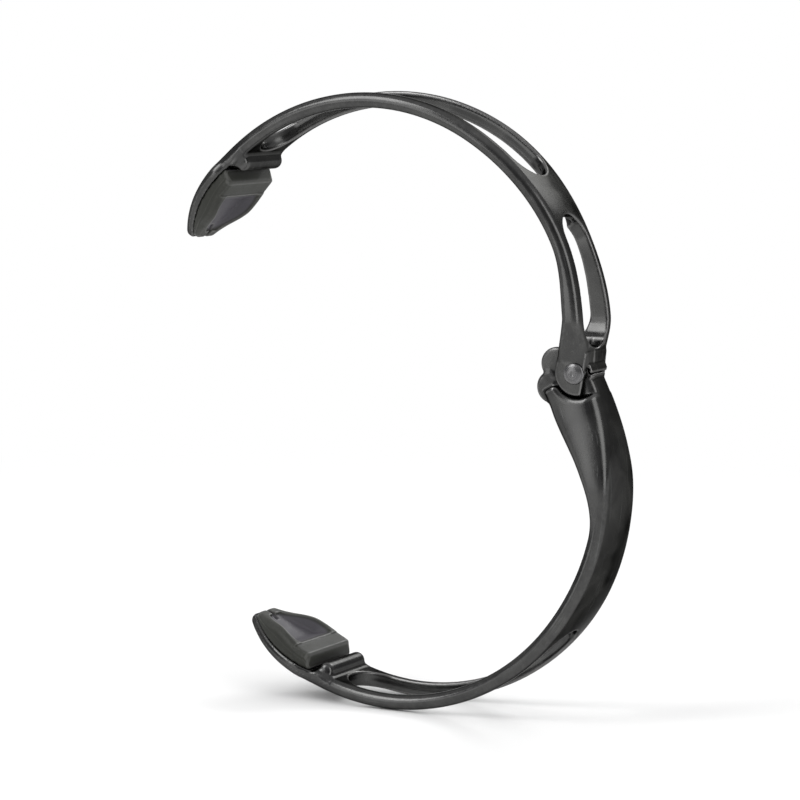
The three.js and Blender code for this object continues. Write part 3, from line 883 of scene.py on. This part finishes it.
# %% A material with its shader, its place along the piece and a bump
def new_material(name, metallic, place_name=None):
    material = bpy.data.materials.new(name)
    material.use_nodes = True
    tree = material.node_tree
    shader = tree.nodes["Principled BSDF"]
    shader.inputs["Metallic"].default_value = metallic
    if place_name:
        place = linked(tree, "ShaderNodeAttribute", attribute_name=place_name, attribute_type="GEOMETRY")
        place = place.outputs["Vector"]
    else:
        coordinates = linked(tree, "ShaderNodeTexCoord").outputs["Object"]
        place = linked(tree, "ShaderNodeMapping", {"Vector": coordinates, "Scale": (1 / MM, 1 / MM, 1 / MM)})
        place = place.outputs[0]
    return material, tree, shader, place


def painted(tree, shader, colour, roughness):
    tree.links.new(colour, shader.inputs["Base Color"])
    tree.links.new(roughness, shader.inputs["Roughness"])


def bumped(tree, shader, height, strength, distance_mm):
    values = {"Height": height, "Strength": strength, "Distance": distance_mm * MM}
    bump = linked(tree, "ShaderNodeBump", values)
    tree.links.new(bump.outputs[0], shader.inputs["Normal"])


def attribute(tree, name):
    return linked(tree, "ShaderNodeAttribute", attribute_name=name, attribute_type="GEOMETRY").outputs["Fac"]


# %% [markdown]
# ### Dark polished metal
# The arms are cast zinc, polished and plated in a dark grey chrome. It mirrors the room darkly. Years of use
# rub the plating thin on the edges, which go lighter, and leave fine scratches along the arms and a film of
# handling that dulls it in patches. A flat dark colour with a low roughness would look like wet paint, so
# every effect changes the roughness too.

# %% Dark polished metal
plating_dark, plating_light = grey(0.05), (0.088, 0.088, 0.086, 1)
rubbed_plating = (0.24, 0.238, 0.235, 1)
corner_shade = grey(0.022)
scratched_plating = grey(0.18)


def dark_metal():
    material, tree, shader, place = new_material("dark_polished_metal", 1.0, "lay")
    shader.inputs["Specular Tint"].default_value = grey(0.3)
    worn_and_shaded = placed(tree, wear_and_corner_shade, {"Place": place, "Bending": attribute(tree, "bending"), "Scale": 1.6,
                                    "Start": 0.5, "Full": 3.4, "Breakup": 2.2})
    film = placed(tree, blotches, {"Place": place, "Scale": 0.16, "Contrast": 2.2})["Blotch"]
    marks = placed(tree, scratches, {"Place": place, "Along": 0.07, "Across": 2.6, "Rare": 0.6})
    cross = placed(tree, scratches, {"Place": place, "Along": 1.9, "Across": 0.25, "Rare": 0.66})
    pits = placed(tree, grain, {"Place": place, "Scale": 3.0})
    colour = tinted(tree, film, plating_dark, plating_light)
    # Wear lightens the edges. corner_shade darkens the concave corners as painted shade.
    colour = layered(tree, colour, (worn_and_shaded["Wear"], 0.6, rubbed_plating), (worn_and_shaded["Hollow"], 0.7, corner_shade),
                     (marks["Scratch"], 0.25, scratched_plating))
    roughness = summed(tree, 0.15, (film, 0.14), (marks["Scratch"], 0.12), (cross["Scratch"], 0.1),
                       (worn_and_shaded["Wear"], 0.08))
    painted(tree, shader, colour, roughness)
    bumped(tree, shader, summed(tree, 0.0, (marks["Height"], 0.5), (pits["Height"], 0.25)), 0.35, 0.02)
    return material


arm_finish = dark_metal()
print("made", arm_finish.name, "with", len(arm_finish.node_tree.nodes), "nodes")

# %% [markdown]
# ### Grip rubber
# The pads are moulded in soft rubber, nearly black with a touch of olive, matt, with the fine grain of the
# mould. Their lips are rubbed a little lighter and smoother, dust greys the hollow, and its corners get
# painted shade.

# %% Grip rubber
rubber_dark, rubber_light = (0.011, 0.012, 0.009, 1), (0.022, 0.023, 0.018, 1)
dusty_hollow = (0.066, 0.063, 0.072, 1)
rubbed_lip = (0.12, 0.12, 0.115, 1)
# painted shade for the concave corners of the hollow
rubber_corner_shade = (0.03, 0.029, 0.032, 1)


def grip_rubber():
    material, tree, shader, place = new_material("grip_rubber", 0.0, "lay")
    shader.inputs["Specular IOR Level"].default_value = 0.3
    worn_and_shaded = placed(tree, wear_and_corner_shade, {"Place": place, "Bending": attribute(tree, "bending"), "Scale": 2.5,
                                    "Start": 0.3, "Full": 3.0, "Breakup": 1.6})
    film = placed(tree, blotches, {"Place": place, "Scale": 0.35, "Contrast": 1.8})["Blotch"]
    skin = placed(tree, grain, {"Place": place, "Scale": 7.0})
    colour = tinted(tree, film, rubber_dark, rubber_light)
    colour = tinted(tree, attribute(tree, "inside"), colour, dusty_hollow)
    # Wear lightens the lips. Concave corners are pulled towards rubber_corner_shade as painted shade.
    colour = layered(tree, colour, (worn_and_shaded["Wear"], 0.4, rubbed_lip), (worn_and_shaded["Hollow"], 0.5, rubber_corner_shade))
    painted(tree, shader, colour, summed(tree, 0.48, (film, 0.14), (worn_and_shaded["Wear"], -0.12)))
    bumped(tree, shader, summed(tree, skin["Height"], (skin["Pores"], -0.5)), 0.5, 0.03)
    return material


pad_finish = grip_rubber()
print("made", pad_finish.name, "with", len(pad_finish.node_tree.nodes), "nodes")

# %% [markdown]
# ### Steel and plastic of the hinge
# The pin is turned steel, so its marks run round it. The spring is drawn wire, marked along its length, and
# the two thrust washers between the eyes and the tongue are black plastic. Both steels come from one
# function, because only their tone and the run of their marks differ.

# %% Pin steel and spring steel
oiled_steel = (0.12, 0.115, 0.11, 1)


def bare_steel(name, dark, light, along, across, least_roughness):
    material, tree, shader, place = new_material(name, 1.0, "lay")
    marks = placed(tree, scratches, {"Place": place, "Along": along, "Across": across, "Rare": 0.5})
    film = placed(tree, blotches, {"Place": place, "Scale": 1.2, "Contrast": 2.0})["Blotch"]
    colour = layered(tree, tinted(tree, marks["Scratch"], dark, light), (film, 0.4, oiled_steel))
    painted(tree, shader, colour, summed(tree, least_roughness, (marks["Scratch"], 0.12), (film, 0.1)))
    bumped(tree, shader, marks["Height"], 0.4, 0.01)
    return material


pin_steel = bare_steel("pin_steel", (0.12, 0.12, 0.125, 1), grey(0.26), 0.1, 14.0, 0.2)
spring_steel = bare_steel("spring_steel", grey(0.25), (0.45, 0.44, 0.43, 1), 0.2, 10.0, 0.28)
print("made", pin_steel.name, "and", spring_steel.name)

# %% Bearing plastic
def bearing_plastic():
    material, tree, shader, place = new_material("bearing_plastic", 0.0)
    film = placed(tree, blotches, {"Place": place, "Scale": 2.0, "Contrast": 2.0})["Blotch"]
    skin = placed(tree, grain, {"Place": place, "Scale": 12.0})
    colour = tinted(tree, film, (0.02, 0.02, 0.022, 1), (0.04, 0.04, 0.042, 1))
    painted(tree, shader, colour, summed(tree, 0.35, (film, 0.2)))
    bumped(tree, shader, skin["Height"], 0.3, 0.01)
    return material


plastic = bearing_plastic()
print("made", plastic.name)

# %% [markdown]
# ## The arms and pads
# Each arm becomes a mesh of squares about a quarter of a millimetre wide, which is fine enough for the small
# rounds of the hinge. The pads are smaller, so theirs are finer.

# %% Build the arms
arm_voxel = 0.24
for body, arm, shape in (("upper", upper, upper_arm_shape), ("lower", lower, lower_arm_shape)):
    node = body + "_arm"
    arm_mesh, _ = smooth_mesh(node, shape, arm, arm_voxel)
    finished(arm_mesh, node + "_finish", body, node, arm_finish)

# %% Build the pads
pad_voxel = 0.16
hollow_side_share = 0.75
hollow_top_gap = 0.25
hollow_fade = 0.4


def in_hollow(points, arm):
    """1 on the walls and floor of a pad's hollow, 0 on its outside."""
    arc, depth, y = arm_place(points, arm)
    hollow_half = half_width(arm, arc) - hollow_side_share * lip_top_width
    under_side = np.clip((hollow_half - np.abs(y)) / hollow_fade, 0, 1)
    return under_side * np.clip((lip_height(arc) - hollow_top_gap - depth) / hollow_fade, 0, 1)


for body, arm in (("upper", upper), ("lower", lower)):
    node = body + "_foot_pad"
    pad_mesh, pad_points = smooth_mesh(node, lambda points: pad_shape(points, arm), arm, pad_voxel)
    store(pad_mesh, "inside", "FLOAT", in_hollow(pad_points, arm))
    finished(pad_mesh, node + "_finish", body, node, pad_finish)

# %% [markdown]
# ## The pin and washers
# These are turned parts. An outline of radius and sideways place is spun round the pin's axis into rings of
# faces. A Screw modifier could spin it too, but here the ends close by themselves, and the angle and radius
# of each point can be kept for marks that run round the axis.

# %% Rings of points round the pin
on_axis_radius = 1e-6


def ring_of_points(tool, radius, side, sides):
    """One ring of an outline's point, or a single point on the axis."""
    if radius < on_axis_radius:
        return [tool.verts.new((PIN[0] * MM, (PIN[1] + side) * MM, PIN[2] * MM))]
    ring = []
    for angle in np.linspace(0, 2 * math.pi, sides, endpoint=False):
        place = (radius * math.cos(angle), side, radius * math.sin(angle))
        ring.append(tool.verts.new(Vector((PIN + place) * MM)))
    return ring


def bridged(tool, ring, following, sides):
    for i in range(sides):
        j = (i + 1) % sides
        corners = [ring[i % len(ring)], ring[j % len(ring)], following[j % len(following)],
                   following[i % len(following)]]
        unique = list(dict.fromkeys(corners))
        if len(unique) > 2:
            tool.faces.new(unique)


# %% Spin an outline round the pin
def turned_mesh(outline, sides=72):
    """An outline that starts off the axis is a closed loop, as on a washer."""
    tool = bmesh.new()
    rings = [ring_of_points(tool, radius, side, sides) for radius, side in outline]
    following_rings = rings[1:] + rings[:1] if outline[0][0] > 0 else rings[1:]
    for ring, following in zip(rings, following_rings):
        bridged(tool, ring, following, sides)
    bmesh.ops.recalc_face_normals(tool, faces=tool.faces)
    mesh = bpy.data.meshes.new("turned")
    tool.to_mesh(mesh)
    tool.free()
    points = np.array([vertex.co for vertex in mesh.vertices]) / MM - PIN
    x, y, z = points.T
    store(mesh, "lay", "FLOAT_VECTOR", np.stack((np.arctan2(z, x), np.hypot(x, z), y), 1))
    return mesh


# %% Ease the corners of an outline
def eased(points, size=0.06, steps=3, most_share=1 / 2.2):
    """Rounds each corner by size, but by no more than most_share of the lines beside it."""
    made = [points[0]]
    for before, corner, after in zip(points, points[1:], points[2:]):
        before, corner, after = map(np.array, (before, corner, after))
        back, ahead = before - corner, after - corner
        back_length, ahead_length = np.linalg.norm(back), np.linalg.norm(ahead)
        reach = min(size, back_length * most_share, ahead_length * most_share)
        a = corner + back / back_length * reach
        b = corner + ahead / ahead_length * reach
        for i in range(steps + 1):
            t = i / steps
            made.append(tuple((1 - t) ** 2 * a + 2 * t * (1 - t) * corner + t * t * b))
    made.append(points[-1])
    return made


print("an eased corner has", len(eased([(0, 0), (1, 0), (1, 1)])) - 2, "points")

# %% [markdown]
# ### The riveted pin
# The pin's head is a low dome with a small dimple in its middle, as the riveting tool leaves it. At the back
# the tail is spread flat to hold the pin. The dome's outline is a quarter of an ellipse, worked out by its
# angle, and the rest is a short list of corners.

# %% The riveted pin
pin_gap = 0.05
pin_face = hinge_half + pin_gap
shank_radius = 0.75
head_radius, head_height, head_skirt = 1.65, 0.75, 0.25
dimple_radius, dimple_depth = 0.35, 0.12
tail_radius, tail_height, tail_skirt, tail_top_radius = 1.3, 0.5, 0.25, 0.8
dome_steps = 9

pin_outline = [(0, -pin_face - head_height + dimple_depth), (dimple_radius, -pin_face - head_height)]
for step in range(1, dome_steps + 1):
    dome_angle = math.pi / 2 * step / dome_steps
    dome_radius = dimple_radius + (head_radius - dimple_radius) * math.sin(dome_angle)
    dome_height = head_skirt + (head_height - head_skirt) * math.cos(dome_angle)
    pin_outline.append((dome_radius, -pin_face - dome_height))
pin_outline += [(head_radius, -pin_face), (shank_radius, -pin_face), (shank_radius, pin_face)]
pin_outline += [(tail_radius, pin_face), (tail_radius, pin_face + tail_skirt)]
pin_outline += [(tail_top_radius, pin_face + tail_height), (0, pin_face + tail_height)]
pin = finished(turned_mesh(eased(pin_outline)), "riveted_pin", "upper", "hinge_pin", pin_steel)
print("pin:", len(pin.data.polygons), "faces")

# %% [markdown]
# ### The thrust washers
# A thin plastic ring lies between each eye and the tongue and keeps metal off metal. Its outline is a small
# rectangle that starts in the middle of its inner wall, so that all four corners get their round.

# %% The thrust washers
washer_inner_side, washer_outer_side = 2.5, 2.75
washer_ease, washer_ease_steps, washer_sides = 0.04, 2, 48

for direction, node in ((-1, "front_thrust_washer"), (1, "back_thrust_washer")):
    near, far = sorted((direction * washer_inner_side, direction * washer_outer_side))
    wall_middle = (bore_radius, (near + far) / 2)
    inner_side = [(washer_radius, near), (washer_radius, far)]
    rectangle = [wall_middle, (bore_radius, near), *inner_side, (bore_radius, far), wall_middle]
    washer_outline = eased(rectangle, washer_ease, washer_ease_steps)[:-1]
    washer_mesh = turned_mesh(washer_outline, washer_sides)
    washer = finished(washer_mesh, node + "_ring", "upper", node, plastic)
    print(node + ":", len(washer.data.polygons), "faces")

# %% [markdown]
# ## The spring
# A torsion spring of thin wire is wound round the pin between the tongue's plates, with one leg in the upper
# arm and one in the lower. It follows a path, so Geometry Nodes sweep a round wire along it: the curve is the
# middle line, and the tree's inputs are the wire's radius and how many sides it has.

# %% The middle line of the spring
leg_bend_radius = 0.55
leg_steps, bend_steps, coil_steps = 8, 8, 110


def spring_line():
    """The upper leg, the bend into the coil, the coil and the lower leg."""
    bend_top = coil_radius + leg_bend_radius
    points = []
    for share in np.linspace(0, 1, leg_steps):
        points.append((leg_offset, -coil_half_length, leg_length + (bend_top - leg_length) * share))
    for angle in np.linspace(0, math.pi / 2, bend_steps)[1:]:
        inward = leg_bend_radius * (1 - math.cos(angle))
        points.append((leg_offset - inward, -coil_half_length, bend_top - leg_bend_radius * math.sin(angle)))
    for share in np.linspace(0, 1, coil_steps)[1:]:
        angle = math.pi / 2 + share * coil_turns * 2 * math.pi
        side = coil_half_length * (2 * share - 1)
        points.append((coil_radius * math.cos(angle), side, coil_radius * math.sin(angle)))
    for share in np.linspace(0, 1, leg_steps)[1:]:
        points.append((-coil_radius, coil_half_length, -leg_length * share))
    return np.array(points)


line = spring_line()
wire_length = np.linalg.norm(np.diff(line, axis=0), axis=1).sum()
print(f"wire of the spring: {wire_length:.1f} mm long")

# %% The wire tree
def wire_tree(material):
    tree = bpy.data.node_groups.new("wire_on_a_path", "GeometryNodeTree")
    tree.interface.new_socket("Path", in_out="INPUT", socket_type="NodeSocketGeometry")
    radius = tree.interface.new_socket("Wire Radius", in_out="INPUT", socket_type=FLOAT)
    sides = tree.interface.new_socket("Sides", in_out="INPUT", socket_type="NodeSocketInt")
    tree.interface.new_socket("Wire", in_out="OUTPUT", socket_type="NodeSocketGeometry")
    start, end = tree.nodes.new("NodeGroupInput").outputs, tree.nodes.new("NodeGroupOutput").inputs
    ring_inputs = {"Resolution": start["Sides"], "Radius": start["Wire Radius"]}
    ring = linked(tree, "GeometryNodeCurvePrimitiveCircle", ring_inputs)
    length = linked(tree, "GeometryNodeSplineParameter").outputs["Length"]
    kept = linked(tree, "GeometryNodeCaptureAttribute", {"Geometry": start["Path"]}, domain="POINT")
    kept.capture_items.new("FLOAT", "Along")
    tree.links.new(length, kept.inputs["Along"])
    sweep_inputs = {"Curve": kept.outputs["Geometry"], "Profile Curve": ring.outputs["Curve"]}
    sweep_inputs["Fill Caps"] = True
    swept = linked(tree, "GeometryNodeCurveToMesh", sweep_inputs).outputs["Mesh"]
    lay = linked(tree, "ShaderNodeCombineXYZ", {"X": maths(tree, "MULTIPLY", kept.outputs["Along"], 1 / MM)})
    lay_inputs = {"Geometry": swept, "Name": "lay", "Value": lay.outputs[0]}
    named = linked(tree, "GeometryNodeStoreNamedAttribute", lay_inputs, data_type="FLOAT_VECTOR")
    real = linked(tree, "GeometryNodeRealizeInstances", {"Geometry": named.outputs["Geometry"]})
    finish = {"Geometry": real.outputs["Geometry"], "Material": material}
    tree.links.new(linked(tree, "GeometryNodeSetMaterial", finish).outputs["Geometry"], end["Wire"])
    return tree, radius.identifier, sides.identifier


# %% Wind the spring
wire_sides = 14

spring_path = bpy.data.curves.new("spring_path", "CURVE")
spring_path.dimensions = "3D"
spring_path.twist_mode = "MINIMUM"
spline = spring_path.splines.new("POLY")
spline.points.add(len(line) - 1)
spline.points.foreach_set("co", np.c_[(line + PIN) * MM, np.ones(len(line))].ravel())
path_carrier = add_object("spring_path", spring_path)
wire_nodes, radius_socket, sides_socket = wire_tree(spring_steel)
print("the wire tree has", len(wire_nodes.nodes), "nodes")
sweep = path_carrier.modifiers.new("wire", "NODES")
sweep.node_group = wire_nodes
sweep[radius_socket] = wire_radius * MM
sweep[sides_socket] = wire_sides
wire = bpy.data.meshes.new_from_object(path_carrier.evaluated_get(bpy.context.evaluated_depsgraph_get()))
path_carrier.modifiers.clear()
bpy.data.objects.remove(path_carrier)
spring = finished(wire, "torsion_spring", "upper", "hinge_spring", spring_steel)
print("spring:", len(spring.data.polygons), "faces")

# %% [markdown]
# ## The floor
# The hook stands on its lowest point on a plain pale floor. Near the hook the floor is ordinary matt paper
# that takes its shadow. Further out it fades to plain white for whoever looks at it, straight or in a mirror,
# and so the picture's background stays white without more light on the hook. From here on lengths are in
# metres, as Blender has them, unless a name ends in mm.

# %% The floor
floor_half, floor_gap = 12.0, 0.0001
lowest, highest = map(Vector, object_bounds())
middle = (lowest + highest) / 2

corner_signs = ((-1, -1), (1, -1), (1, 1), (-1, 1))
floor_mesh = bpy.data.meshes.new("pale_floor")
floor_corners = [(x * floor_half, y * floor_half, lowest.z - floor_gap) for x, y in corner_signs]
floor_mesh.from_pydata(floor_corners, [], [(0, 1, 2, 3)])
floor = add_object("pale_floor", floor_mesh)
print("floor at", round(lowest.z / MM, 2), "mm")

# %% The floor's paper, which turns plain white further out
paper_dark, paper_light, plain_white = grey(0.84), grey(0.87), grey(1)
white_from_mm, white_at_mm = 70, 280


def looked_at(tree):
    """1 for rays that carry what is seen, 0 for rays that carry light."""
    rays = linked(tree, "ShaderNodeLightPath").outputs
    seen = maths(tree, "ADD", rays["Is Camera Ray"], rays["Is Glossy Ray"])
    return maths(tree, "ADD", seen, rays["Is Transmission Ray"], clamp=True)


def pale_paper():
    material, tree, shader, place = new_material("pale_paper", 0.0)
    blotch = placed(tree, blotches, {"Place": place, "Scale": 0.004, "Contrast": 1.0})["Blotch"]
    tree.links.new(tinted(tree, blotch, paper_dark, paper_light), shader.inputs["Base Color"])
    shader.inputs["Roughness"].default_value = 0.8
    shader.inputs["Specular IOR Level"].default_value = 0.1
    flat = linked(tree, "ShaderNodeVectorMath", {0: place, 1: (1, 1, 0)}, operation="MULTIPLY").outputs[0]
    out_mm = linked(tree, "ShaderNodeVectorMath", {0: flat}, operation="LENGTH").outputs["Value"]
    white_share = maths(tree, "MULTIPLY", ranged(tree, out_mm, white_from_mm, white_at_mm), looked_at(tree))
    white = linked(tree, "ShaderNodeEmission", {"Color": plain_white, "Strength": 1.0})
    both = linked(tree, "ShaderNodeMixShader", {0: white_share, 1: shader.outputs[0], 2: white.outputs[0]})
    tree.links.new(both.outputs[0], tree.nodes["Material Output"].inputs["Surface"])
    return material


floor_mesh.materials.append(pale_paper())
print("the floor is plain white from", white_at_mm, "mm out")

# %% [markdown]
# ## The world
# Polished metal shows its surroundings more than its own colour. An even white world would make the hook look
# flat, so the room has a bright back, a darker front and a dark side towards +X. Diffuse surfaces see a
# second, calmer room that is brightest overhead, so that the rubber and the floor are lit evenly.

# %% The world
world = bpy.data.worlds.new("soft_room")
bpy.context.scene.world = world
world.use_nodes = True
room = world.node_tree
direction = linked(room, "ShaderNodeTexCoord").outputs["Generated"]
facing = linked(room, "ShaderNodeSeparateXYZ", {0: direction}).outputs
overhead = ranged(room, facing["Z"], 0.3, 0.95)


def mirrored_room():
    tone = tinted(room, ranged(room, facing["Y"], -0.5, 0.7), (0.3, 0.3, 0.31, 1), grey(1))
    tone = tinted(room, ranged(room, facing["X"], 0.05, 0.6, 0, 0.8), tone, grey(0.14))
    return tinted(room, overhead, tone, (0.8, 0.8, 0.81, 1))


def lighting_room():
    tone = tinted(room, ranged(room, facing["Y"], -0.6, 0.3), grey(0.75), grey(0.42))
    return tinted(room, overhead, tone, grey(1))


diffuse_ray = linked(room, "ShaderNodeLightPath").outputs["Is Diffuse Ray"]
backdrop = room.nodes["Background"]
room.links.new(tinted(room, diffuse_ray, mirrored_room(), lighting_room()), backdrop.inputs["Color"])
backdrop.inputs["Strength"].default_value = 1.0
print("the world has", len(room.nodes), "nodes")

# %% [markdown]
# ## The lamps
# Four large soft lamps draw the highlights. A window at the front left and a pale wall at the right give the
# long highlights along the rails, a rim lamp behind parts the outer edge from the background, and a narrow
# upright lamp in front lifts the sides of the arms. Small hard lamps would leave dots on the metal.

# %% The lamps
def aimed(holder, place):
    """Puts a lamp or the camera at a place, turned towards the middle of the hook."""
    holder.location = place
    holder.rotation_euler = (middle - holder.location).to_track_quat("-Z", "Y").to_euler()
    return holder


def lamp(name, place, width, height, power):
    light = bpy.data.lights.new(name, "AREA")
    light.shape = "RECTANGLE"
    light.size, light.size_y = width, height
    light.energy = power
    return aimed(add_object(name, light), middle + Vector(place))


lamp("window", place=(-0.55, -0.75, 0.75), width=0.45, height=0.7, power=5.0)
lamp("pale_wall", place=(0.9, -0.35, 0.35), width=0.5, height=0.8, power=3.0)
lamp("rim", place=(0.1, 0.9, 0.6), width=0.6, height=0.3, power=3.5)
lamp("soft_front", place=(-0.42, -0.8, 0.05), width=0.28, height=0.8, power=1.3)
print("lamp power in all:", round(sum(light.energy for light in bpy.data.lights), 1), "W")

# %% [markdown]
# ## The camera
# It looks from slightly above, turned towards the hinge's side, at about the distance from which a small
# thing is held and looked at. The lens follows from that distance and from how much of the scene is shown.

# %% The camera
azimuth, elevation = math.radians(28.5), math.radians(6.7)
camera_distance, view_width = 0.5, 0.125
sensor_width = 36

sideways = Vector((math.sin(azimuth), -math.cos(azimuth), 0))
away = sideways * math.cos(elevation) + Vector((0, 0, math.sin(elevation)))
lens = bpy.data.cameras.new("camera")
lens.sensor_width = sensor_width
lens.lens = sensor_width * camera_distance / view_width
lens.clip_end = 50
camera = aimed(add_object("camera", lens), middle + away * camera_distance)
bpy.context.scene.camera = camera
bpy.context.scene.view_settings.view_transform = "Standard"
print("camera at", [round(value, 3) for value in camera.location])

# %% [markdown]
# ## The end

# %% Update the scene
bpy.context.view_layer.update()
